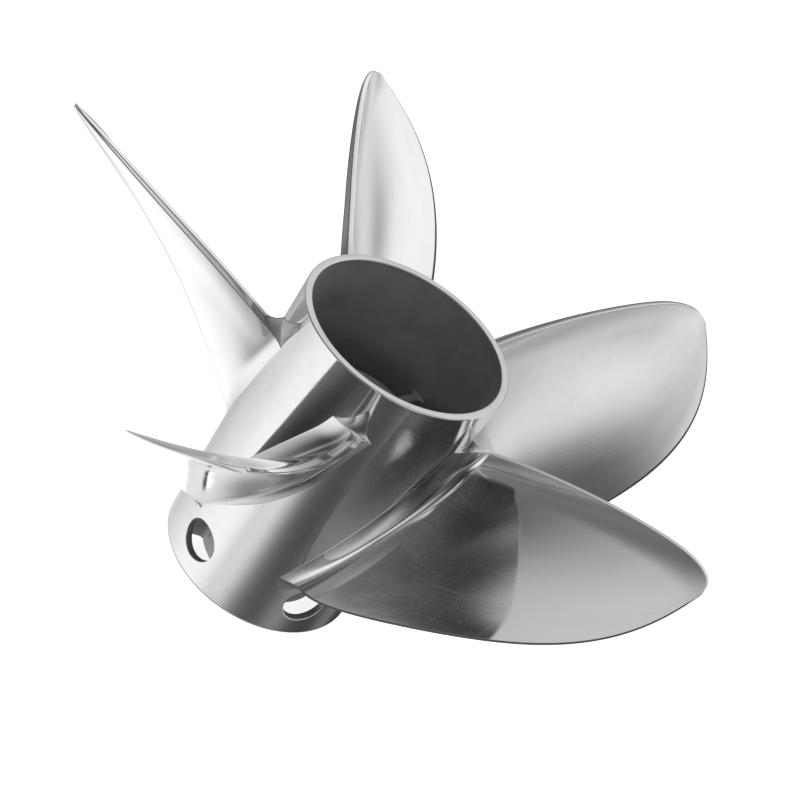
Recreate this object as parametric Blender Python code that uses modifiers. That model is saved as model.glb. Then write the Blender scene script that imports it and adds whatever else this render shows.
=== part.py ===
"""Five-bladed right-hand propeller for an outboard motor or a stern drive.

The hub is a wide open barrel that the exhaust runs through, joined by ribs to an inner hub
that sits on the shaft. Metres, +Z up. The shaft axis is Z, the part stands on the forward
end of its barrel, and its mouth, the aft end, looks up. The origin is on the axis in the
plane of the forward end. Blade 1 has its tip over +X.
"""

import math

import bmesh
import bpy

# Barrel: the outer hub
BARREL_LENGTH = 0.1793
BARREL_RADIUS_FRONT = 0.0579
BARREL_RADIUS_AFT = 0.0603
BARREL_WALL = 0.0042
MOUTH_RADIUS = 0.0559         # inside radius at the flared aft lip
MOUTH_FLARE = 0.030           # length over which the inside opens to the mouth
EDGE_ROUND = 0.0008           # rounding of the barrel's end rings
AROUND = 100                  # facets round the barrel, a multiple of the five blades

# Round vents through the barrel, one ahead of each blade
VENT_RADIUS = 0.0120
VENT_Z = 0.0242
VENT_ANGLE = -26.3            # degrees from the blade's tip

# Inner hub and the ribs that carry it
INNER_RADIUS = 0.0368
INNER_Z = (0.0, 0.120)
BORE_FRONT = 0.0280           # the bore narrows from front to back, then steps in
BORE_AFT = 0.0265
BORE_SEAT_Z = 0.106
BORE_SEAT_RADIUS = 0.0190
RIB_THICKNESS = 0.0058
RIB_Z = (0.002, 0.119)
RIB_ANGLE = 16.5              # degrees from the blade's tip
RIB_COUNT = 5

# Blades. Station s runs from 0 at the barrel to 1 at the tip, u from 0 at the leading edge
# to 1 at the trailing edge. A row of numbers multiplies 1, s, s squared and so on
BLADES = 5
ROOT_RADIUS = 0.05894
TIP_RADIUS = 0.20385
PITCH = (0.7865, -0.1324, 0.1250)
HEIGHT = (0.12548, 0.09455, -0.01371)       # of the blade's reference line
CHORD = (0.12342, 0.05879, -0.11772, 0.01574)
TIP_SHARPNESS = 12.74         # how late the outline turns in to the tip
TIP_FULLNESS = 0.4516
TRAIL_ANGLE = (11.943, -6.710, -2.618, 1.176)   # degrees from the blade's zero line
TRAIL_TIP_SWEEP = 2.680       # degrees that the trailing edge swings forward at the tip
CAMBER = (0.0085, -0.0131)    # hollow of the pressure face, as a share of the chord
CUP_DEPTH = 0.0023            # extra hollow just ahead of the trailing edge
CUP_WIDTH = 0.07
THICK_ROOT = 0.0110
THICK_TIP = 0.0028
THICK_LEAD = 0.0010
TRAIL_THICK_ROOT = 0.0051
TRAIL_THICK_TIP = 0.0008
PRESSURE_FILLET = 0.0110      # radius of the fillet at the root, on the pressure side
SUCTION_FILLET = 0.0045

GAP = 0.0003                  # seam between neighbouring pieces
SINK = 0.0040                 # how far a blade starts below the barrel's surface before its cut

STATIONS = (0.0, 0.004, 0.014, 0.030, 0.052, 0.080, 0.13, 0.20, 0.29, 0.39, 0.50, 0.61, 0.71,
            0.79, 0.86, 0.91, 0.946, 0.970, 0.985, 0.994, 0.9985)
ACROSS = (0.0, 0.03, 0.08, 0.16, 0.27, 0.40, 0.53, 0.65, 0.76, 0.85, 0.91, 0.95, 0.98, 1.0)


def clear_scene():
    for item in list(bpy.data.objects):
        bpy.data.objects.remove(item, do_unlink=True)


def new_collection(name):
    group = bpy.data.collections.new(name)
    bpy.context.scene.collection.children.link(group)
    return group


def metal(name, colour, roughness):
    mat = bpy.data.materials.new(name)
    mat.use_nodes = True
    shader = mat.node_tree.nodes["Principled BSDF"]
    shader.inputs["Base Color"].default_value = (*colour, 1.0)
    shader.inputs["Roughness"].default_value = roughness
    shader.inputs["Metallic"].default_value = 1.0
    return mat


def add_object(name, mesh, group, mat=None):
    obj = bpy.data.objects.new(name, mesh)
    group.objects.link(obj)
    if mat:
        mesh.materials.append(mat)
    return obj


def make_cutter(obj):
    obj.hide_render = True
    obj.display_type = "WIRE"


def smooth(obj, degrees=30.0):
    obj.data.shade_smooth()
    obj.data.set_sharp_from_angle(angle=math.radians(degrees))


def turned(name, profile, group, mat=None):
    """A closed profile of (radius, height) points, turned about the shaft axis."""
    mesh = bpy.data.meshes.new(name)
    count = len(profile)
    mesh.from_pydata([(r, 0.0, z) for r, z in profile],
                     [(i, (i + 1) % count) for i in range(count)], [])
    obj = add_object(name, mesh, group, mat)
    screw = obj.modifiers.new("Turn", "SCREW")
    screw.axis = "Z"
    screw.steps = screw.render_steps = AROUND
    screw.use_merge_vertices = True
    screw.merge_threshold = 0.0001
    screw.use_smooth_shade = False
    return obj


def cut(obj, cutter, name):
    boolean = obj.modifiers.new(name, "BOOLEAN")
    boolean.operation = "DIFFERENCE"
    boolean.solver = "EXACT"
    boolean.object = cutter


def barrel_radius(z):
    """Outside radius of the barrel at height z."""
    t = z / BARREL_LENGTH
    return BARREL_RADIUS_FRONT + (BARREL_RADIUS_AFT - BARREL_RADIUS_FRONT) * t


def make_barrel(group, cutters, mat):
    inside = BARREL_RADIUS_FRONT - BARREL_WALL
    e = EDGE_ROUND
    profile = [
        (MOUTH_RADIUS + e, BARREL_LENGTH),
        (BARREL_RADIUS_AFT - e, BARREL_LENGTH),
        (BARREL_RADIUS_AFT, BARREL_LENGTH - e),
        (barrel_radius(0.5 * BARREL_LENGTH), 0.5 * BARREL_LENGTH),
        (BARREL_RADIUS_FRONT, e),
        (BARREL_RADIUS_FRONT - e, 0.0),
        (inside + e, 0.0),
        (inside, e),
        (inside, BARREL_LENGTH - MOUTH_FLARE),
        (MOUTH_RADIUS, BARREL_LENGTH - e),
    ]
    barrel = turned("outer_hub", profile, group, mat)
    bm = bmesh.new()
    for k in range(BLADES):
        angle = math.radians(VENT_ANGLE + 360.0 / BLADES * k)
        made = bmesh.ops.create_cone(bm, cap_ends=True, segments=28, radius1=VENT_RADIUS,
                                     radius2=VENT_RADIUS, depth=0.024)
        for v in made["verts"]:
            x, y, z = v.co
            # the cylinder's own Z turns to point out of the barrel
            v.co = (math.cos(angle) * (z + BARREL_RADIUS_FRONT) - math.sin(angle) * y,
                    math.sin(angle) * (z + BARREL_RADIUS_FRONT) + math.cos(angle) * y,
                    VENT_Z - x)
    mesh = bpy.data.meshes.new("vents")
    bm.to_mesh(mesh)
    bm.free()
    vents = add_object("vents", mesh, cutters)
    make_cutter(vents)
    cut(barrel, vents, "Vents")
    return barrel


def make_inner_hub(group, mat):
    low, high = INNER_Z
    e = EDGE_ROUND
    profile = [
        (BORE_SEAT_RADIUS, high),
        (INNER_RADIUS - e, high),
        (INNER_RADIUS, high - e),
        (INNER_RADIUS, low + e),
        (INNER_RADIUS - e, low),
        (BORE_FRONT, low),
        (BORE_AFT, BORE_SEAT_Z),
        (BORE_SEAT_RADIUS, BORE_SEAT_Z),
    ]
    return turned("inner_hub", profile, group, mat)


def make_ribs(group, mat):
    inner = INNER_RADIUS + GAP
    outer = BARREL_RADIUS_FRONT - BARREL_WALL - 1.5 * GAP
    low, high = RIB_Z
    for k in range(RIB_COUNT):
        bm = bmesh.new()
        bmesh.ops.create_cube(bm, size=1.0)
        for v in bm.verts:
            v.co = ((inner + outer) / 2 + v.co.x * (outer - inner), v.co.y * RIB_THICKNESS,
                    (low + high) / 2 + v.co.z * (high - low))
        mesh = bpy.data.meshes.new(f"rib_{k + 1}")
        bm.to_mesh(mesh)
        bm.free()
        rib = add_object(f"rib_{k + 1}", mesh, group, mat)
        rib.rotation_euler.z = math.radians(RIB_ANGLE + 360.0 / RIB_COUNT * k)


def row(factors, s):
    """A row of factors as a polynomial in s."""
    return sum(factor * s ** power for power, factor in enumerate(factors))


def blade_section(s):
    """Radius, pitch, its angle, chord, the edges' angles, and the height at angle zero."""
    r = ROOT_RADIUS + s * (TIP_RADIUS - ROOT_RADIUS)
    q = max(s, 0.0)
    pitch = row(PITCH, q)
    phi = math.atan2(pitch, 2 * math.pi * r)
    chord = row(CHORD, q) * (1.0 - q ** TIP_SHARPNESS) ** TIP_FULLNESS
    trail = math.radians(row(TRAIL_ANGLE, q) - TRAIL_TIP_SWEEP * q ** 14)
    lead = trail - chord * math.cos(phi) / r
    return r, pitch, phi, chord, lead, trail, row(HEIGHT, s)


def hollow(u, chord, s):
    """Depth of the pressure face below the line between the two edges."""
    q = max(s, 0.0)
    arc = row(CAMBER, q) * chord * 4.0 * u * (1.0 - u)
    rise = min(1.0, (1.0 - u) / CUP_WIDTH)
    return arc + CUP_DEPTH * (1.0 - q ** 3) * rise * (1.0 if u > 0.5 else 2.0 * u)


def thickness(u, s):
    q = max(s, 0.0)
    most = THICK_ROOT + (THICK_TIP - THICK_ROOT) * q ** 0.7
    trail = TRAIL_THICK_ROOT + (TRAIL_THICK_TIP - TRAIL_THICK_ROOT) * q
    peak = 0.58
    if u < peak:
        # the leading part thickens more slowly near the root
        power = 0.85 + 0.55 * max(0.0, 1.0 - q / 0.3)
        return THICK_LEAD + (most - THICK_LEAD) * math.sin(0.5 * math.pi * u / peak) ** power
    return trail + (most - trail) * 0.5 * (1.0 + math.cos(math.pi * (u - peak) / (1.0 - peak)))


def fillet(size, climb):
    """Sideways growth of the section where it runs into the barrel, at a climb above it."""
    h = min(max(climb, 0.0), size)
    return size - math.sqrt(size ** 2 - (size - h) ** 2)


def blade_ring(s):
    """One closed ring of the blade: pressure face to the trailing edge, back on the other."""
    r, pitch, phi, chord, lead, trail, height = blade_section(s)
    pressure, suction = [], []
    for u in ACROSS:
        angle = lead + (trail - lead) * u
        z = height + pitch / (2 * math.pi) * angle
        deep = hollow(u, chord, s)
        climb = r - barrel_radius(z)
        for side, depth, grow in ((pressure, deep, -fillet(PRESSURE_FILLET, climb)),
                                  (suction, deep + thickness(u, s), fillet(SUCTION_FILLET, climb))):
            # the face lies below the helix, square to it; the fillet spreads round the barrel
            a = angle + (depth * math.sin(phi) + grow / math.sin(phi)) / r
            side.append((r * math.cos(a), r * math.sin(a), z - depth * math.cos(phi)))
    return pressure, suction


def make_blade_mesh():
    bm = bmesh.new()
    stations = (-SINK / (TIP_RADIUS - ROOT_RADIUS),) + STATIONS
    rings = []
    for s in stations:
        pressure, suction = blade_ring(s)
        rings.append(([bm.verts.new(p) for p in pressure], [bm.verts.new(p) for p in suction]))
    n = len(ACROSS)
    for (p0, s0), (p1, s1) in zip(rings, rings[1:]):
        for i in range(n - 1):
            bm.faces.new((p0[i], p0[i + 1], p1[i + 1], p1[i]))
            bm.faces.new((s0[i + 1], s0[i], s1[i], s1[i + 1]))
        bm.faces.new((s0[0], p0[0], p1[0], s1[0]))
        bm.faces.new((p0[n - 1], s0[n - 1], s1[n - 1], p1[n - 1]))
    for pressure, suction in (rings[0], rings[-1]):
        for i in range(n - 1):
            bm.faces.new((pressure[i], suction[i], suction[i + 1], pressure[i + 1]))
    bmesh.ops.recalc_face_normals(bm, faces=bm.faces)
    mesh = bpy.data.meshes.new("blade")
    bm.to_mesh(mesh)
    bm.free()
    return mesh


def make_blades(group, cutters, mat):
    core = turned("barrel_core", [
        (BARREL_RADIUS_FRONT - 0.012, BARREL_LENGTH),
        (BARREL_RADIUS_AFT + GAP, BARREL_LENGTH),
        (BARREL_RADIUS_FRONT + GAP, 0.0),
        (BARREL_RADIUS_FRONT - 0.012, 0.0),
    ], cutters)
    make_cutter(core)
    mesh = make_blade_mesh()
    mesh.materials.append(mat)
    for k in range(BLADES):
        blade = bpy.data.objects.new(f"blade_{k + 1}", mesh)
        group.objects.link(blade)
        blade.rotation_euler.z = math.radians(360.0 / BLADES * k)
        cut(blade, core, "Seat on the barrel")
        if k == 0:
            smooth(blade, 40.0)


def build():
    clear_scene()
    propeller = new_collection("through_hub_propeller")
    cutters = new_collection("cutters")
    polished = metal("polished_stainless", (0.72, 0.71, 0.70), 0.16)
    satin = metal("cast_stainless", (0.32, 0.32, 0.32), 0.45)
    barrel = make_barrel(propeller, cutters, polished)
    inner = make_inner_hub(propeller, satin)
    make_ribs(propeller, satin)
    make_blades(propeller, cutters, polished)
    return barrel, inner


build()
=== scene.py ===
import math

import bpy
import numpy as np
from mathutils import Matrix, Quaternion, Vector


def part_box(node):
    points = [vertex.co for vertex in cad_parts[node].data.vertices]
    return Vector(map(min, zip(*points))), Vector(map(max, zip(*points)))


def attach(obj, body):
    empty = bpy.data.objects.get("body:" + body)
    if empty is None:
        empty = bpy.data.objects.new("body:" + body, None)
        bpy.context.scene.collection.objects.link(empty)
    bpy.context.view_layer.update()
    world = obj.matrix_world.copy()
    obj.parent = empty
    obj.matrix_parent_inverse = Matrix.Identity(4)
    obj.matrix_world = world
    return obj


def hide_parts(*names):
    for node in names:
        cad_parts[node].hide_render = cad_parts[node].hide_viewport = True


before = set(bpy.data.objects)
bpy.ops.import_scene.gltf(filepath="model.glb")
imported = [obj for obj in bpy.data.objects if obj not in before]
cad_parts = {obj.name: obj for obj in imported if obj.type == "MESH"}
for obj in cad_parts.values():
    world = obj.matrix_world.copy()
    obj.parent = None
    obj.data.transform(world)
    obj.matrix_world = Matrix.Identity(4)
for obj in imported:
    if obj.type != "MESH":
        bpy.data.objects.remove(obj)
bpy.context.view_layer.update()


# Outer barrel. The wide hub that the exhaust runs through, cast with the rest of the propeller and
# polished outside. Five round vents go through its wall near the forward end, one ahead of each
# blade. Its length and the radii of its ends come from the solid, and its edges are rounded.

def node_points(name):
    return np.array([v.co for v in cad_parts[name].data.vertices])


barrel_points = node_points("outer_hub")
barrel_radii = np.hypot(barrel_points[:, 0], barrel_points[:, 1])
barrel_length = barrel_points[:, 2].max()
front_ring = barrel_radii[barrel_points[:, 2] < 0.0001]
mouth_ring = barrel_radii[barrel_points[:, 2] > barrel_length - 0.0001]
edge_round = 0.0008
front_radius = front_ring.max() + edge_round
front_bore = front_ring.min() - edge_round
mouth_radius = mouth_ring.max() + edge_round
mouth_bore = mouth_ring.min() - edge_round
flare_start = barrel_length - 0.030
vent_radius = 0.0120
vent_height = 0.0242
vent_angle = math.radians(-26.3)
vent_edge = 0.0006
blade_count = 5
columns = 360
patch = 18                    # half width of the square round each vent, in columns and in rows
row_step = 0.001
arc_steps = 4                 # faces round each quarter of a rounded edge
front_line_points = 8         # points of the rounded front end that are drawn as a dark line


def barrel_outside(z):
    return front_radius + (mouth_radius - front_radius) * z / barrel_length


def barrel_inside(z):
    t = np.clip((z - flare_start) / (barrel_length - flare_start), 0.0, 1.0)
    return front_bore + (mouth_bore - front_bore) * t * t * (3.0 - 2.0 * t)


def new_piece(name, points, faces, materials, face_slots=None):
    mesh = bpy.data.meshes.new(name)
    mesh.from_pydata(np.asarray(points).tolist(), [], faces)
    mesh.shade_smooth()
    for material in materials:
        mesh.materials.append(material)
    if face_slots is not None:
        mesh.polygons.foreach_set("material_index", face_slots)
    mesh.validate()
    piece = bpy.data.objects.new(name, mesh)
    bpy.context.scene.collection.objects.link(piece)
    return piece


def mark_points(piece, label, amounts):
    """A number from 0 to 1 kept with each point, which the material reads by its label."""
    piece.data.attributes.new(label, "FLOAT", "POINT").data.foreach_set("value", amounts)


def barrel_rows():
    """Heights of the rows that the outside and the inside share, from front to mouth."""
    rows_ahead, rows_behind = 6, 55
    middle = [vent_height + row_step * k for k in range(-patch, patch + 1)]
    ahead = list(np.linspace(edge_round * 1.5, middle[0], rows_ahead + 1)[:-1])
    behind = list(np.linspace(middle[-1], barrel_length - 1.5 * edge_round, rows_behind + 1)[1:])
    return ahead + middle + behind, rows_ahead


def rounded_end(z_end, outer, inner, sign):
    """Radius and height of the points over one end ring, from the outside to the inside."""
    made = []
    for centre, start in ((outer - edge_round, 0.0), (inner + edge_round, 90.0)):
        for k in range(arc_steps + 1):
            a = math.radians(start + 90.0 * k / arc_steps)
            made.append((centre + edge_round * math.cos(a),
                         z_end - sign * edge_round * (1.0 - math.sin(a))))
    return made


def make_barrel(materials):
    heights, first = barrel_rows()
    mouth_start = len(heights)
    profile = [(barrel_outside(z), z) for z in heights]
    profile += rounded_end(barrel_length, mouth_radius, mouth_bore, 1.0)
    inside_start = len(profile)
    profile += [(barrel_inside(z), z) for z in reversed(heights)]
    profile += list(reversed(rounded_end(0.0, front_radius, front_bore, -1.0)))
    rows = len(profile)
    turns = vent_angle + np.arange(columns) * 2.0 * math.pi / columns
    points = [(r * math.cos(a), r * math.sin(a), z) for a in turns for r, z in profile]

    def at(column, row):
        return (column % columns) * rows + row % rows

    outer_low, outer_high = first, first + 2 * patch
    inner_low = inside_start + (len(heights) - 1 - outer_high)
    inner_high = inner_low + 2 * patch
    open_columns = set()
    for k in range(blade_count):
        centre = k * columns // blade_count
        open_columns.update((centre + c) % columns for c in range(-patch, patch))
    faces, slots = [], []
    for c in range(columns):
        for row in range(rows):
            on_patch = outer_low <= row < outer_high or inner_low <= row < inner_high
            if c in open_columns and on_patch:
                continue
            faces.append((at(c, row), at(c + 1, row), at(c + 1, row + 1), at(c, row + 1)))
            inside = inside_start <= row < inside_start + len(heights)
            slots.append(1 if inside else 2 if mouth_start < row < inside_start else 0)

    # each square is filled with rings that close in on the vent, round its edge and run through
    border = [(c, -patch) for c in range(-patch, patch)] + [(patch, r) for r in range(-patch, patch)]
    border += [(c, patch) for c in range(patch, -patch, -1)]
    border += [(-patch, r) for r in range(patch, -patch, -1)]
    for k in range(blade_count):
        centre = k * columns // blade_count
        turn = vent_angle + centre * 2.0 * math.pi / columns
        rings = [[at(centre + c, first + patch + r) for c, r in border]]
        inner_ring = [at(centre + c, inner_low + patch - r) for c, r in border]
        turned_over = [math.radians(90.0 * k / arc_steps) for k in range(arc_steps + 1)]
        steps = [(t, 0.0, 0.0, barrel_outside) for t in (0.25, 0.5, 0.7, 0.85, 0.95)]
        polished_rings = len(steps) + 3
        for b in turned_over:
            steps.append((1.0, vent_edge * (1.0 - math.sin(b)), vent_edge * (1.0 - math.cos(b)),
                          barrel_outside))
        for b in reversed(turned_over):
            steps.append((1.0, vent_edge * (1.0 - math.sin(b)), -vent_edge * (1.0 - math.cos(b)),
                          barrel_inside))
        steps += [(t, 0.0, 0.0, barrel_inside) for t in (0.95, 0.8, 0.6, 0.3)]
        for closeness, widen, sink, wall in steps:
            ring = []
            for c, r in border:
                side = wall(vent_height) * math.sin(c * 2.0 * math.pi / columns)
                rise = r * row_step
                reach = math.hypot(side, rise)
                radius = vent_radius + widen
                if closeness < 1.0:
                    radius = (vent_radius + vent_edge) * closeness + reach * (1.0 - closeness)
                y, z = side / reach * radius, vent_height + rise / reach * radius
                x = math.sqrt(wall(z) ** 2 - y * y) - sink
                ring.append(len(points))
                points.append((x * math.cos(turn) - y * math.sin(turn),
                               x * math.sin(turn) + y * math.cos(turn), z))
            rings.append(ring)
        rings.append(inner_ring)
        for j, (a, b) in enumerate(zip(rings, rings[1:])):
            for i in range(len(border)):
                n = (i + 1) % len(border)
                faces.append((a[i], a[n], b[n], b[i]))
                slots.append(0 if j < polished_rings else 1)
    barrel = new_piece("polished_barrel", points, faces, materials, slots)
    # painted dark reflection: the last points of the rounded front end get a dark matt line, standing
    # in for what the rim mirrors
    front_painted_reflection = np.zeros(len(points))
    front_painted_reflection[:columns * rows].reshape(columns, rows)[:, -front_line_points:] = 0.9
    mark_points(barrel, "painted_reflection_edge", front_painted_reflection)
    return barrel


def shader_node(tree, kind, inputs=(), **options):
    """A node with its options set and its inputs filled, by a value or from another socket."""
    node = tree.nodes.new(kind)
    for option, value in options.items():
        setattr(node, option, value)
    for key, value in dict(inputs).items():
        if isinstance(value, bpy.types.NodeSocket):
            tree.links.new(value, node.inputs[key])
        else:
            node.inputs[key].default_value = value
    return node


def shader_group(name, takes, gives):
    """An empty node group with its named sockets, and the nodes that carry them."""
    group = bpy.data.node_groups.new(name, "ShaderNodeTree")
    for label, kind in takes:
        group.interface.new_socket(label, in_out="INPUT", socket_type="NodeSocket" + kind)
    for label, kind in gives:
        group.interface.new_socket(label, in_out="OUTPUT", socket_type="NodeSocket" + kind)
    return group, group.nodes.new("NodeGroupInput").outputs, group.nodes.new("NodeGroupOutput").inputs


def place_group(tree, group, inputs):
    """The outputs of a node group placed in a material with its own values."""
    return shader_node(tree, "ShaderNodeGroup", inputs, node_tree=group).outputs


def between(tree, value, low, high, out_low=0.0, out_high=1.0):
    """The value carried smoothly from one span of numbers to another."""
    return shader_node(tree, "ShaderNodeMapRange", {
        "Value": value, "From Min": low, "From Max": high, "To Min": out_low, "To Max": out_high},
        interpolation_type="SMOOTHSTEP").outputs["Result"]


def worked(tree, operation, *numbers, **options):
    """What one step of arithmetic makes of numbers or of other nodes' results."""
    return shader_node(tree, "ShaderNodeMath", enumerate(numbers), operation=operation,
                       **options).outputs[0]


def blended(tree, share, first, second):
    """The first colour where the share is 0, and the second where it is 1."""
    return shader_node(tree, "ShaderNodeMix", {"Factor": share, 6: first, 7: second},
                       data_type="RGBA").outputs[2]


def build_hairlines():
    """Fine lines left by the polishing belt, and the few deeper scratches that show in a dark
    reflection. Places and the size of a line are in metres."""
    group, take, give = shader_group("hairlines", [("Place", "Vector"), ("Line Size", "Vector")],
                                     [("Lines", "Float"), ("Scratches", "Float")])
    drawn = shader_node(group, "ShaderNodeVectorMath", {0: take["Place"], 1: take["Line Size"]},
                        operation="DIVIDE")
    fine = shader_node(group, "ShaderNodeTexNoise", {
        "Vector": drawn.outputs[0], "Scale": 1.0, "Detail": 2.0, "Roughness": 0.5})
    group.links.new(between(group, fine.outputs["Fac"], 0.3, 0.7), give["Lines"])
    deep = None
    for turn, width, offset in ((0.22, 0.004, 3.1), (-0.6, 0.003, 7.7), (1.3, 0.0025, 12.3)):
        turned = shader_node(group, "ShaderNodeVectorRotate", {"Vector": take["Place"], "Angle": turn},
                             rotation_type="Z_AXIS")
        shaped = shader_node(group, "ShaderNodeVectorMath", {
            0: turned.outputs[0], 1: (16.0, 210.0, 210.0), 2: (offset, offset, offset)},
            operation="MULTIPLY_ADD")
        hills = shader_node(group, "ShaderNodeTexNoise", {
            "Vector": shaped.outputs[0], "Scale": 1.0, "Detail": 1.0, "Roughness": 0.4})
        # a scratch runs where the noise crosses its middle value
        off_middle = worked(group, "ABSOLUTE", worked(group, "SUBTRACT", hills.outputs["Fac"], 0.5))
        line = between(group, off_middle, 0.0, width, 1.0, 0.0)
        here = shader_node(group, "ShaderNodeTexNoise", {
            "Vector": shaped.outputs[0], "Scale": 0.9, "Detail": 2.0})
        some = between(group, here.outputs["Fac"], 0.56, 0.66)
        line = worked(group, "MULTIPLY", line, some)
        deep = line if deep is None else worked(group, "MAXIMUM", deep, line)
    group.links.new(deep, give["Scratches"])
    return group


def build_smears():
    """Cloudy patches of polishing haze, from a hand's breadth down to a fingertip, a thin film
    that wiping leaves, and specks of dust."""
    group, take, give = shader_group("smears", [("Place", "Vector")],
                                     [("Haze", "Float"), ("Film", "Float"), ("Specks", "Float")])
    wide = shader_node(group, "ShaderNodeTexNoise", {
        "Vector": take["Place"], "Scale": 24.0, "Detail": 3.0, "Roughness": 0.55, "Distortion": 0.6})
    small = shader_node(group, "ShaderNodeTexNoise", {
        "Vector": take["Place"], "Scale": 150.0, "Detail": 4.0, "Roughness": 0.6})
    haze = worked(group, "MULTIPLY", between(group, wide.outputs["Fac"], 0.35, 0.7),
                  between(group, small.outputs["Fac"], 0.3, 0.75, 0.35, 1.0))
    group.links.new(haze, give["Haze"])
    fine = shader_node(group, "ShaderNodeTexNoise", {
        "Vector": take["Place"], "Scale": 110.0, "Detail": 2.0, "Roughness": 0.5, "Distortion": 0.8})
    film = worked(group, "MULTIPLY", between(group, fine.outputs["Fac"], 0.42, 0.75),
                  between(group, small.outputs["Fac"], 0.35, 0.7, 0.2, 1.0))
    group.links.new(film, give["Film"])
    dots = shader_node(group, "ShaderNodeTexVoronoi", {"Vector": take["Place"], "Scale": 420.0})
    near = between(group, dots.outputs["Distance"], 0.07, 0.12, 1.0, 0.0)
    few = shader_node(group, "ShaderNodeSeparateColor", {"Color": dots.outputs["Color"]})
    near = worked(group, "MULTIPLY", near, between(group, few.outputs["Red"], 0.93, 0.95))
    group.links.new(near, give["Specks"])
    return group


hairlines = build_hairlines()
smears = build_smears()


def polished_steel(name, place_from, line_size):
    """Stainless steel belted and buffed to a near mirror, with its belt lines one way. Points that
    are marked as a dark edge are painted as a dark matt line. It stands in for what thin edges
    mirror in the photograph, and the real steel has no such paint."""
    material = bpy.data.materials.new(name)
    material.use_nodes = True
    tree = material.node_tree
    shader = tree.nodes["Principled BSDF"]
    # only the bare metal mirrors: film, scratches and edge lines have no shine of their own
    shader.inputs["Specular IOR Level"].default_value = 0.0
    place = shader_node(tree, "ShaderNodeTexCoord").outputs[place_from]
    lines = place_group(tree, hairlines, {"Place": place, "Line Size": line_size})
    marks = place_group(tree, smears, {"Place": place})
    # painted dark reflection: the marked edge points turn from mirror metal to a dark matt grey,
    # standing in for the dark surroundings that thin edges mirror
    painted_reflection = shader_node(tree, "ShaderNodeAttribute", attribute_name="painted_reflection_edge").outputs["Fac"]
    tint = blended(tree, marks["Haze"], (0.83, 0.83, 0.825, 1.0), (0.78, 0.78, 0.775, 1.0))
    tint = blended(tree, painted_reflection, tint, (0.13, 0.13, 0.13, 1.0))
    tree.links.new(tint, shader.inputs["Base Color"])
    rough = worked(tree, "MULTIPLY_ADD", marks["Haze"], 0.07, 0.05)
    for mark, much in ((lines["Lines"], 0.03), (lines["Scratches"], 0.1), (marks["Specks"], 0.25),
                       (painted_reflection, 0.25)):
        rough = worked(tree, "MULTIPLY_ADD", mark, much, rough)
    tree.links.new(rough, shader.inputs["Roughness"])
    metal = worked(tree, "MULTIPLY_ADD", marks["Film"], -0.03, 1.0)
    metal = worked(tree, "MULTIPLY_ADD", lines["Scratches"], -0.04, metal)
    metal = worked(tree, "MULTIPLY_ADD", painted_reflection, -1.0, metal, use_clamp=True)
    tree.links.new(metal, shader.inputs["Metallic"])
    # buffing by hand leaves broad swells, and the belt and scratches cut finely into them
    swell = shader_node(tree, "ShaderNodeTexNoise", {"Vector": place, "Scale": 38.0, "Detail": 1.0})
    height = worked(tree, "MULTIPLY", lines["Lines"], 0.006)
    height = worked(tree, "MULTIPLY_ADD", swell.outputs["Fac"], 0.16, height)
    height = worked(tree, "MULTIPLY_ADD", lines["Scratches"], -0.012, height)
    bump = shader_node(tree, "ShaderNodeBump", {"Height": height, "Strength": 1.0,
                                                "Distance": 0.0004})
    tree.links.new(bump.outputs[0], shader.inputs["Normal"])
    return material


def build_casting_grain():
    """The skin of an investment casting: fine grain, broad mottling and small pits."""
    group, take, give = shader_group("casting_grain", [("Place", "Vector")],
                                     [("Grain", "Float"), ("Mottle", "Float"), ("Pits", "Float")])
    grain = shader_node(group, "ShaderNodeTexNoise", {
        "Vector": take["Place"], "Scale": 1500.0, "Detail": 4.0, "Roughness": 0.65})
    group.links.new(grain.outputs["Fac"], give["Grain"])
    mottle = shader_node(group, "ShaderNodeTexNoise", {
        "Vector": take["Place"], "Scale": 60.0, "Detail": 4.0, "Roughness": 0.6})
    group.links.new(between(group, mottle.outputs["Fac"], 0.3, 0.7), give["Mottle"])
    cells = shader_node(group, "ShaderNodeTexVoronoi", {"Vector": take["Place"], "Scale": 300.0})
    pit = between(group, cells.outputs["Distance"], 0.06, 0.2, 1.0, 0.0)
    some = shader_node(group, "ShaderNodeSeparateColor", {"Color": cells.outputs["Color"]})
    pit = worked(group, "MULTIPLY", pit, between(group, some.outputs["Green"], 0.82, 0.86))
    group.links.new(pit, give["Pits"])
    return group


casting_grain = build_casting_grain()


def cast_steel(name, dark, light, roughness, grain_depth):
    """Stainless steel as it left the mould, blasted clean to an even satin, or turned after it."""
    material = bpy.data.materials.new(name)
    material.use_nodes = True
    tree = material.node_tree
    shader = tree.nodes["Principled BSDF"]
    shader.inputs["Metallic"].default_value = 1.0
    place = shader_node(tree, "ShaderNodeTexCoord").outputs["Object"]
    skin = place_group(tree, casting_grain, {"Place": place})
    tree.links.new(blended(tree, skin["Mottle"], dark, light), shader.inputs["Base Color"])
    rough = worked(tree, "MULTIPLY_ADD", skin["Grain"], 0.16, roughness)
    tree.links.new(rough, shader.inputs["Roughness"])
    height = worked(tree, "MULTIPLY_ADD", skin["Pits"], -0.9, skin["Grain"])
    bump = shader_node(tree, "ShaderNodeBump", {"Height": height, "Strength": 1.0,
                                                "Distance": grain_depth})
    tree.links.new(bump.outputs[0], shader.inputs["Normal"])
    return material


polished_barrel = polished_steel("polished_barrel_steel", "Object", (0.04, 0.04, 0.0011))
satin = cast_steel("cast_stainless_steel", (0.46, 0.46, 0.46, 1.0), (0.52, 0.52, 0.515, 1.0),
                   0.52, 0.00005)
turned = cast_steel("turned_stainless_steel", (0.62, 0.62, 0.62, 1.0), (0.68, 0.68, 0.675, 1.0),
                    0.24, 0.00002)

barrel = make_barrel([polished_barrel, satin, turned])
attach(barrel, "root")
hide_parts("outer_hub")


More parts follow.
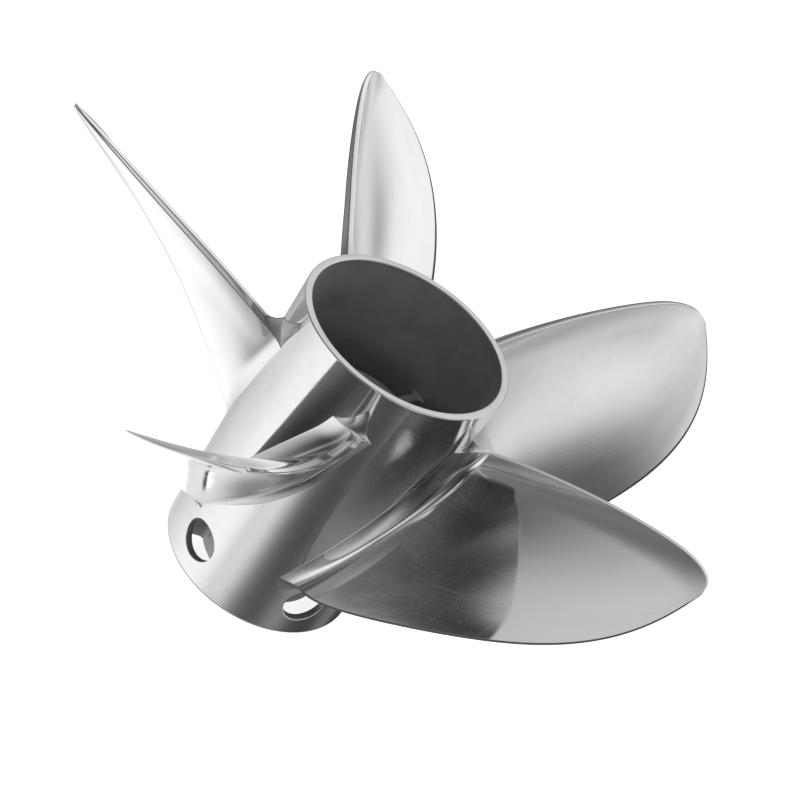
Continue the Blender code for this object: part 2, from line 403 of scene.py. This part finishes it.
# Blades. Five raked blades, cast with the barrel and polished on both faces. Each has a hollow
# pressure face with a cup along its trailing edge, a flat strip ground along that edge, and
# fillets where it leaves the barrel. The hidden parts of its outline follow from the five being
# alike.

root_radius = 0.05894
tip_radius = 0.20385
# a row holds the factors of 1, s, s squared and so on, where s runs from 0 at the barrel to 1 at
# the tip, or from 0 at the leading edge to 1 at the trailing edge in the pressure side's fillet. The
# rows and the tip values down to trail_tip_sweep were fitted to the photograph's outlines
pitch_row = (0.7865, -0.1324, 0.1250)
height_row = (0.12548, 0.09455, -0.01371)
chord_row = (0.12342, 0.05879, -0.11772, 0.01574)
trail_row = (11.943, -6.710, -2.618, 1.176)
camber_row = (0.0085, -0.0131)
tip_sharpness = 12.74
tip_fullness = 0.4516
trail_tip_sweep = 2.680
lip_row = (0.00075, 0.0, -0.0014)         # what the ground lip adds to the chord
tip_corner = 0.0060           # rounding of the tip's trailing corner
cup_depth = 0.0023
cup_width = 0.015
cup_front = 0.8               # share of the chord over which the cup deepens
cup_root = 0.3                # share of the blade's height over which it fades to the root
strip_width = 0.0034          # the strip faces almost straight aft
strip_tilt = math.radians(5.0)
strip_fade = (0.05, 0.10)     # shares of the blade's height between which it starts
strip_depth = (0.0005, 0.0035)            # its outer corner, and what it gains towards the root
blunt_row = (0.00415, -0.0027, 0.0, 0.0, 0.0, 0.0, -0.0009)
thick_root, thick_tip, thick_lead = 0.0110, 0.0028, 0.0010
thickest = 0.58
pressure_fillet = (0.0098, 0.0060, -0.0046)
pressure_reach = (0.0074, 0.0124)         # how far it climbs, at the leading and trailing ends
pressure_crease = 0.2         # the pressure side's fillet meets the blade in a soft crease
suction_fillet = (0.0010, 0.0045)
suction_reach = 2.4           # how far the suction side's fillet climbs, in its own sizes
corner_round = 0.0006
strip_round = 0.0003
corner_points = 9
face_points = 56
fillet_rings, blade_rings = 44, 95
level_climb = 0.045           # rings beyond this climb have one radius


def along(row, s):
    return sum(factor * s ** power for power, factor in enumerate(row))


def blade_edges(s):
    """Pitch, its angle, the chord, the two edges' angles and the height at angle zero."""
    q = np.clip(s, 0.0, 1.0)
    r = root_radius + s * (tip_radius - root_radius)
    pitch = along(pitch_row, q)
    slope = np.arctan2(pitch, 2.0 * math.pi * r)
    trail = np.radians(along(trail_row, q) - trail_tip_sweep * q ** 14)
    extra = along(lip_row, q) * np.clip(q / 0.2, 0.0, 1.0) * (1.0 - q ** 24)
    trail = trail + extra * np.cos(slope) / r
    # the leading edge sweeps round to the tip, which ends short of the trailing corner
    fullness = np.clip(1.0 - q ** tip_sharpness, 1e-9, 1.0) ** tip_fullness
    chord = along(chord_row, q) * fullness + tip_corner * (1.0 - fullness)
    chord = chord + extra
    lead = trail - chord * np.cos(slope) / r
    corner = np.clip(1.0 - (tip_radius - r) / tip_corner, 0.0, 1.0)
    corner = tip_corner * (1.0 - np.sqrt(1.0 - corner ** 2))
    return (pitch, slope, chord - corner, lead, trail - corner * np.cos(slope) / r,
            along(height_row, s))


def lip_depths(s):
    """Depths of the two corners of the blunt edge that the strip along the lip leaves."""
    outer = strip_depth[0] + strip_depth[1] * max(0.0, 0.35 - s)
    return outer, outer + along(blunt_row, min(max(s, 0.0), 1.0))


def blade_hollow(u, chord, s, lip_depth=0.0):
    """Depth of the hollow face at shares of the chord, with the lip's bend at its end."""
    q = np.clip(s, 0.0, 1.0)
    arc = along(camber_row, q) * chord * 4.0 * u * (1.0 - u)
    front = np.sin(0.5 * math.pi * np.clip(u / cup_front, 0.0, 1.0)) ** 2
    lip = np.clip(1.0 - (1.0 - u) * chord / cup_width, 0.0, 1.0) ** 2
    cup = cup_depth * (1.0 - q ** 10) * np.clip(q / cup_root, 0.0, 1.0) ** 0.5
    return arc + cup * front * (1.0 - lip) + lip_depth * lip


def blade_thickness(u, chord, s):
    """Thickness at shares of the chord: thin in front, and as wide behind as the blunt edge."""
    q = np.clip(s, 0.0, 1.0)
    most = thick_root + (thick_tip - thick_root) * q ** 0.7
    trail = lip_depths(s)[1]
    lead = thick_lead + (trail - thick_lead) * np.clip(1.0 - chord / 0.02, 0.0, 1.0) ** 2
    power = 0.85 + 0.55 * np.clip(1.0 - q / 0.3, 0.0, 1.0)
    front = np.sin(0.5 * math.pi * np.clip(u / thickest, 0.0, 1.0)) ** power
    back = 0.5 * (1.0 + np.cos(math.pi * np.clip((u - thickest) / (1.0 - thickest), 0.0, 1.0)))
    return np.where(u < thickest, lead + (most - lead) * front, trail + (most - trail) * back)


def smooth_step(value, low, high):
    t = np.clip((value - low) / (high - low), 0.0, 1.0)
    return t * t * (3.0 - 2.0 * t)


def fillet_growth(u, climb):
    """How far the fillets of the pressure and of the suction side stand out at a climb above the
    barrel. The first is wide and is ground along its whole length, the second runs out slowly."""
    u = np.clip(u, 0.0, 1.0)
    reach = pressure_reach[0] + (pressure_reach[1] - pressure_reach[0]) * smooth_step(u, 0.42, 0.87)
    left = np.clip(1.0 - climb / reach, 0.0, 1.0)
    on_pressure = along(pressure_fillet, u) * ((1.0 - pressure_crease) * left ** 2.2
                                               + pressure_crease * left)
    size = suction_fillet[0] + (suction_fillet[1] - suction_fillet[0]) * smooth_step(u, 0.0, 0.4)
    on_suction = size * np.clip(1.0 - climb / (suction_reach * size), 0.0, 1.0) ** 4
    return on_pressure, on_suction


def rounded_corner(at, face_point, edge_point, along_face, along_edge):
    """Points that round one corner of a section, from the face to the edge."""
    at = Vector(at)
    to_face = (Vector(face_point) - at).normalized() * along_face
    to_edge = (Vector(edge_point) - at).normalized() * along_edge
    return [tuple(at + to_face * (1.0 - t) ** 2 + to_edge * t ** 2)
            for t in np.linspace(0.0, 1.0, corner_points)]


def section_loop(chord, slope, lead_steep, trail_steep, s):
    """One closed section: places along the chord, depths, and how far each point faces round, as
    an angle from the pressure side (0) over the leading edge to the suction side (180)."""
    q = np.clip(s, 0.0, 1.0)
    strip_along, strip_deep = np.cos(slope + strip_tilt), np.sin(slope + strip_tilt)
    full = min(strip_width * (1.0 - 0.4 * q ** 8), 0.3 * chord / np.cos(slope))
    strip = full * (0.1 + 0.9 * smooth_step(q, *strip_fade))
    outer_depth, back_depth = lip_depths(s)
    face_end, face_depth = chord - full * strip_along, outer_depth - full * strip_deep
    # both faces close in over the last of the tip, by what the rounding of the edge takes there
    near_tip = np.clip(1.0 - (1.0 - q) * (tip_radius - root_radius) / corner_round, 0.0, 1.0)
    closed = corner_round * (1.0 - np.sqrt(1.0 - near_tip ** 2))

    def low(x):
        return blade_hollow(x / face_end, face_end, s, face_depth) + closed

    def high(x):
        return blade_hollow(x / chord, chord, s) + blade_thickness(x / chord, chord, s) - closed

    # where an edge runs nearly along the section, its rounding reaches further in
    lead_size = min(corner_round / lead_steep, 0.3 * chord)
    trail_size = min(corner_round / trail_steep, 0.12 * chord)
    lead_depth = min(corner_round, 0.48 * (high(0.0) - low(0.0)))
    strip_size = min(strip_round, 0.1 * chord, 0.4 * strip)
    t = np.linspace(0.0, 1.0, face_points)
    t = 0.35 * t + 0.325 * (1.0 - np.cos(math.pi * t))
    x = 1.5 * lead_size + t * (face_end - 1.5 * (lead_size + strip_size))
    pressure = list(zip(x, low(x)))
    x = 1.5 * lead_size + t * (chord - 1.5 * (lead_size + trail_size))
    suction = list(zip(x, high(x)))

    lead_low, lead_high = (0.0, low(0.0)), (0.0, high(0.0))
    strip_start = (face_end, low(face_end))
    strip_end = (face_end + strip * strip_along, face_depth + closed + strip * strip_deep)
    back_end = (chord, back_depth - closed)
    edge_size = min(corner_round, 0.4 * (back_end[1] - strip_end[1]))
    loop = rounded_corner(lead_low, pressure[0], lead_high, lead_size, lead_depth)[::-1] + pressure
    loop += rounded_corner(strip_start, pressure[-1], strip_end, strip_size, strip_size)
    loop += rounded_corner(strip_end, strip_start, back_end, min(trail_size, 0.4 * strip), edge_size)
    loop += rounded_corner(back_end, suction[-1], strip_end, trail_size, edge_size)[::-1]
    loop += suction[::-1]
    loop += rounded_corner(lead_high, suction[0], lead_low, lead_size, lead_depth)
    u = np.array([point[0] for point in loop]) / chord
    depth = np.array([point[1] for point in loop])
    facing = np.zeros(len(loop))
    facing[3 * corner_points + face_points:] = 180.0
    facing[:corner_points] = np.linspace(90.0, 0.0, corner_points)
    facing[-corner_points:] = np.linspace(180.0, 90.0, corner_points)
    return u, depth, np.radians(facing)


def blade_ring(height_share, climb):
    """Points of one ring of the blade, at a climb above the barrel or a share of the whole height."""
    s = height_share
    pitch, slope, chord, lead, trail, height = blade_edges(s)
    level = root_radius + s * (tip_radius - root_radius)
    # how steeply each edge crosses the section
    step = 0.05 * (1.0 - s)
    inner = blade_edges(s - step)
    rise = step * (tip_radius - root_radius)
    lead_steep = rise / math.hypot(rise, (lead - inner[3]) * level / math.cos(slope))
    trail_steep = rise / math.hypot(rise, (trail - inner[4]) * level / math.cos(slope))
    u, depth, facing = section_loop(chord, slope, lead_steep, trail_steep, s)
    on_pressure, on_suction = fillet_growth(u, climb)
    grow = on_pressure + (on_suction - on_pressure) * 0.5 * (1.0 - np.cos(facing))
    u = u - grow * np.sin(facing) / chord
    angle = lead + (trail - lead) * u
    z = height + pitch / (2.0 * math.pi) * angle
    z_face = z - depth * np.cos(slope)
    # rings near the barrel keep their climb above its taper, and the outer ones their radius
    ease = smooth_step(climb, 0.0, level_climb)
    r = (barrel_outside(z_face) + climb) * (1.0 - ease) + level * ease
    a = angle + (depth * np.sin(slope) - grow * np.cos(facing) / np.sin(slope)) / r
    return np.stack([r * np.cos(a), r * np.sin(a), z_face], axis=1)


def painted_reflection_edges(shares, count, strength, beside, reach):
    """How dark a painted line each point lies in, a painted dark reflection of what the thin edges
    mirror.
    The lines run along the leading edge, with some points beside it, and along the three corners of
    the lip's strip and blunt edge."""
    painted_reflection = np.zeros(count)
    painted_reflection[:corner_points + beside] = painted_reflection[-corner_points - beside:] = strength
    for corner, amount, near in ((0, 0.5, 2), (1, 0.8, reach), (2, 0.9, 2)):
        middle = (corner + 1) * corner_points + face_points + corner_points // 2
        painted_reflection[middle - near:middle + near + 1] = amount
    chords = np.array([blade_edges(s)[2] for s in shares])
    return np.outer(np.clip(chords / 0.015, 0.0, 1.0), painted_reflection).ravel()


def make_blade(number, material, edge_reflection_line):
    """Rings stacked from just inside the barrel's wall, close together over the fillets and near
    the tip, and closed there."""
    span = tip_radius - root_radius
    climbs = [-0.0004]
    climbs += list(1.06 * pressure_reach[1] * np.linspace(0.0, 1.0, fillet_rings) ** 1.2)
    shares = [c / span for c in climbs]
    start = shares[-1]
    t = np.linspace(0.0, 1.0, blade_rings + 1)[1:]
    shares += list(start + (1.0 - 1e-7 - start) * (1.0 - (1.0 - t) ** 2.2))
    rings = [blade_ring(s, s * span) for s in shares]
    count = len(rings[0])
    turn = 2.0 * math.pi / blade_count * number
    c, s = math.cos(turn), math.sin(turn)
    points = np.concatenate(rings)
    points = np.stack([c * points[:, 0] - s * points[:, 1], s * points[:, 0] + c * points[:, 1],
                       points[:, 2]], axis=1)
    faces = []
    for j in range(len(rings) - 1):
        for i in range(count):
            n = (i + 1) % count
            faces.append((j * count + i, j * count + n, (j + 1) * count + n, (j + 1) * count + i))
    faces.append(tuple((len(rings) - 1) * count + i for i in range(count)))

    # each point's place on the skin: how far out along the blade, and how far round its section
    spread = []
    for ring in rings:
        steps = np.linalg.norm(np.roll(ring, -1, axis=0) - ring, axis=1)
        spread.append(np.concatenate([[0.0], np.cumsum(steps)]))
    out = number * 0.9 + np.array(shares) * span
    places = []
    for j in range(len(rings) - 1):
        for i in range(count):
            places += [(out[j], spread[j][i]), (out[j], spread[j][i + 1]),
                       (out[j + 1], spread[j + 1][i + 1]), (out[j + 1], spread[j + 1][i])]
    places += [(out[-1], spread[-1][i]) for i in range(count)]
    blade = new_piece(f"polished_blade_{number + 1}", points, faces, [material])
    mark_points(blade, "painted_reflection_edge", painted_reflection_edges(shares, count, *edge_reflection_line))
    blade.data.uv_layers.new(name="skin").data.foreach_set("uv", np.array(places).ravel())
    return blade


polished_blades = polished_steel("polished_blade_steel", "UV", (0.06, 0.0011, 0.0011))
# for each blade, the painted dark reflection along its edges: how dark the line along its leading edge
# is, how many points beside the rounded edge it takes in, and how many to each side of the lip's outer
# corner. They differ only so that each blade looks as it does from the photograph's angle: the real
# blades are alike
edge_reflection_lines = ((1.0, 3, 2), (1.0, 4, 2), (0.15, 1, 2), (1.0, 1, 2), (1.0, 2, 4))

for number, edge_reflection_line in enumerate(edge_reflection_lines):
    blade = make_blade(number, polished_blades, edge_reflection_line)
    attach(blade, "root")
    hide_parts(f"blade_{number + 1}")


# Inner hub. The boss on the propeller shaft, left as cast outside and bored to take the drive
# sleeve, with a step behind it that the shaft's nut draws up against.

hub_points = node_points("inner_hub")
hub_radii = np.hypot(hub_points[:, 0], hub_points[:, 1])
hub_length = hub_points[:, 2].max()
hub_radius = hub_radii.max()
hub_hole = hub_radii.min()
hub_seat_height = hub_points[hub_radii < hub_hole + 0.0001, 2].min()
hub_bore_front = hub_radii[hub_points[:, 2] < 0.0001].min()
hub_bore_aft = hub_radii[(abs(hub_points[:, 2] - hub_seat_height) < 0.0001)].max()


def turned_piece(name, profile, materials, row_slots=None, around=240):
    """A closed profile of (radius, height) points turned about the shaft axis."""
    turns = np.arange(around) * 2.0 * math.pi / around
    points = [(r * math.cos(a), r * math.sin(a), z) for a in turns for r, z in profile]
    rows = len(profile)
    faces = []
    for c in range(around):
        d = (c + 1) % around
        for row in range(rows):
            n = (row + 1) % rows
            faces.append((c * rows + row, d * rows + row, d * rows + n, c * rows + n))
    slots = None if row_slots is None else list(row_slots) * around
    return new_piece(name, points, faces, materials, slots)


def rounded_profile(corners, steps=4):
    """A closed profile whose corners (radius, height, size) are rounded."""
    made = []
    for i, (r, z, size) in enumerate(corners):
        here = Vector((r, z))
        before = (Vector(corners[i - 1][:2]) - here).normalized()
        after = (Vector(corners[(i + 1) % len(corners)][:2]) - here).normalized()
        for k in range(steps + 1):
            t = k / steps
            made.append(tuple(here + before * size * (1.0 - t) ** 2 + after * size * t ** 2))
    return made


hub_profile = rounded_profile([
    (hub_radius, 0.0, 0.0012), (hub_radius, hub_length, 0.0016), (hub_hole, hub_length, 0.0008),
    (hub_hole, hub_seat_height, 0.0004), (hub_bore_aft, hub_seat_height, 0.0012),
    (hub_bore_front, 0.0, 0.0008)])
cast_rows = 5                 # the rows of its outside, as cast; its rim and bore are turned
inner_hub = turned_piece("inner_hub_casting", hub_profile, [satin, turned],
                         [0 if row < cast_rows else 1 for row in range(len(hub_profile))])
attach(inner_hub, "root")
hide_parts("inner_hub")


# Ribs. Five flat ribs, cast between the inner hub and the barrel, split the exhaust passage. They
# widen in a fillet at both ends and keep the rounded edges of the casting. The photograph shows
# the end of one, so their number is a guess.

rib_fillet = 0.0035
rib_edge = 0.0014
rib_set_in = 0.0006           # how far its ends reach into the inner hub and the barrel
rib_end = 0.004               # how much of each end follows the round wall that it is cast to
rib_steps = 24
rib_arc_steps = 5


def make_rib(number, material):
    low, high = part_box(f"rib_{number + 1}")
    corners = node_points(f"rib_{number + 1}")
    middle = corners[:, :2].mean(axis=0)
    turn = math.atan2(middle[1], middle[0])
    across = -corners[:, 0] * math.sin(turn) + corners[:, 1] * math.cos(turn)
    half = across.max()
    inner, outer = hub_radius - rib_set_in, front_bore + rib_set_in
    places = [inner + (outer - inner) * 0.5 * (1.0 - math.cos(math.pi * k / rib_steps))
              for k in range(rib_steps + 1)]
    widths = []
    for r in places:
        inner_flare = max(0.0, rib_fillet - (r - hub_radius)) / rib_fillet
        outer_flare = max(0.0, rib_fillet - (front_bore - r)) / rib_fillet
        widths.append(half + rib_fillet * (2.0 - math.sqrt(1.0 - min(1.0, inner_flare) ** 2)
                                           - math.sqrt(1.0 - min(1.0, outer_flare) ** 2)))
    # each edge is rounded, so the first and last layers of the rib are narrower
    arc = [math.radians(90.0 * k / rib_arc_steps) for k in range(rib_arc_steps + 1)]
    rises = [(low.z + rib_edge * (1.0 - math.cos(a)), rib_edge * (1.0 - math.sin(a))) for a in arc]
    rises += [(high.z - (z - low.z), cut) for z, cut in reversed(rises)]
    side = list(zip(places, widths))
    outline = side + [(r, -w) for r, w in reversed(side)]
    count = len(outline)
    points, faces = [], []
    for z, cut in rises:
        for r, w in outline:
            y = math.copysign(abs(w) - cut, w)
            at_wall = r > outer - rib_end or r < inner + rib_end
            x = math.sqrt(max(r * r - y * y, 0.0)) if at_wall else r
            points.append((x * math.cos(turn) - y * math.sin(turn),
                           x * math.sin(turn) + y * math.cos(turn), z))
    for j in range(len(rises) - 1):
        for i in range(count):
            n = (i + 1) % count
            faces.append((j * count + i, j * count + n, (j + 1) * count + n, (j + 1) * count + i))
    for j, flip in ((0, True), (len(rises) - 1, False)):
        for i in range(rib_steps):
            quad = [j * count + k for k in (i, i + 1, count - 2 - i, count - 1 - i)]
            faces.append(tuple(reversed(quad)) if flip else tuple(quad))
    return new_piece(f"rib_casting_{number + 1}", points, faces, [material])


for number in range(blade_count):
    rib = make_rib(number, satin)
    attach(rib, "root")
    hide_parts(f"rib_{number + 1}")


# Studio. A plain pale floor that glows like a light table, a world of light and dark spots that the
# polished steel mirrors, and the camera. The camera's values were fitted to the photograph.

camera_place = Vector((-0.7164, 0.4040, 0.6981))
camera_aim = Vector((-0.0080, -0.0136, 0.1420))
camera_roll = math.radians(34.83)
camera_data = bpy.data.cameras.new("camera")
camera_data.lens = 84.0
camera_data.sensor_width = 36.0
camera_data.clip_start = 0.01
camera = bpy.data.objects.new("camera", camera_data)
camera.location = camera_place
camera.rotation_mode = "QUATERNION"
camera.rotation_quaternion = ((camera_aim - camera_place).to_track_quat("-Z", "Y")
                              @ Quaternion((0.0, 0.0, 1.0), camera_roll))
bpy.context.scene.collection.objects.link(camera)
bpy.context.scene.camera = camera

floor_size = 6.0
floor_mesh = bpy.data.meshes.new("floor")
floor_mesh.from_pydata([(-floor_size, -floor_size, 0.0), (floor_size, -floor_size, 0.0),
                        (floor_size, floor_size, 0.0), (-floor_size, floor_size, 0.0)],
                       [], [(0, 1, 2, 3)])
pale = bpy.data.materials.new("pale_floor")
pale.use_nodes = True
pale_shader = pale.node_tree.nodes["Principled BSDF"]
pale_shader.inputs["Base Color"].default_value = (0.80, 0.80, 0.80, 1.0)
pale_shader.inputs["Roughness"].default_value = 0.9
pale_shader.inputs["Specular IOR Level"].default_value = 0.0
pale_shader.inputs["Emission Color"].default_value = (1.0, 1.0, 1.0, 1.0)
pale_shader.inputs["Emission Strength"].default_value = 0.85
floor_mesh.materials.append(pale)
floor = bpy.data.objects.new("floor", floor_mesh)
floor.visible_glossy = False
bpy.context.scene.collection.objects.link(floor)

# what the steel mirrors. These numbers, and the even light below, are not set by hand and are no real
# studio's: a separate program fitted them, so that this steel mirrors light and dark as the
# photograph's does. A row is one soft spot round the propeller: its bearing and its height in
# degrees, how narrow it is, and the light that it adds or takes
fitted_spots = [
    (-115.3, -51.0, 9.6, -2.98), (126.4, 29.1, 9.0, -2.98), (-179.7, -37.0, 14.8, -2.67),
    (177.7, 12.8, 35.6, -2.56), (-125.9, 59.4, 29.3, -2.55), (-21.0, -16.6, 1.7, -2.54),
    (-96.7, 46.2, 54.4, -2.47), (115.5, -13.3, 30.5, -2.39), (156.6, 16.3, 87.4, -2.38),
    (-55.3, -35.1, 26.2, -2.32), (117.0, 59.3, 18.4, -2.25), (72.0, 34.1, 3.0, -2.25),
    (58.0, -4.1, 10.7, -2.24), (133.8, -61.0, 15.5, -2.08), (-136.2, 3.8, 4.5, -2.02),
    (-26.5, 82.3, 20.3, -1.94), (156.2, -26.2, 28.9, -1.93), (164.8, 1.7, 62.4, -1.71),
    (140.6, 18.0, 89.6, -1.54), (137.5, -21.4, 60.3, -1.45), (157.0, -7.4, 86.5, -1.42),
    (-166.7, 38.2, 7.8, -1.07), (89.7, -0.6, 36.3, -1.06), (-73.5, 11.6, 75.3, -0.99),
    (123.4, -35.9, 88.8, -0.73), (-30.7, -62.3, 2.7, -0.40), (110.6, 49.2, 38.5, 2.99),
    (-26.3, -59.6, 21.1, 3.00)]
studio = bpy.data.worlds.new("white_studio")
studio.use_nodes = True
bpy.context.scene.world = studio
tree = studio.node_tree
direction = shader_node(tree, "ShaderNodeTexCoord").outputs["Generated"]
light = 2.142                 # the even light, to which the spots add
for bearing, height, narrow, strength in fitted_spots:
    flat = math.cos(math.radians(height))
    centre = (flat * math.cos(math.radians(bearing)), flat * math.sin(math.radians(bearing)),
              math.sin(math.radians(height)))
    facing = shader_node(tree, "ShaderNodeVectorMath", {0: direction, 1: centre},
                         operation="DOT_PRODUCT").outputs["Value"]
    away = worked(tree, "MULTIPLY", worked(tree, "SUBTRACT", facing, 1.0), narrow)
    light = worked(tree, "MULTIPLY_ADD", worked(tree, "EXPONENT", away), strength, light)
# the sum levels off at full white and at deep grey
brightest, darkest = 1.22, 0.02
light = worked(tree, "MULTIPLY_ADD", worked(tree, "TANH", light), 0.5 * (brightest - darkest),
               0.5 * (brightest + darkest))
seen = shader_node(tree, "ShaderNodeLightPath").outputs["Is Camera Ray"]
shown = shader_node(tree, "ShaderNodeMix", {"Factor": seen, 2: light, 3: 1.0}, data_type="FLOAT")
tree.links.new(shown.outputs[0], tree.nodes["Background"].inputs["Strength"])
tree.nodes["Background"].inputs["Color"].default_value = (1.0, 1.0, 1.0, 1.0)
bpy.context.scene.view_settings.view_transform = "Standard"
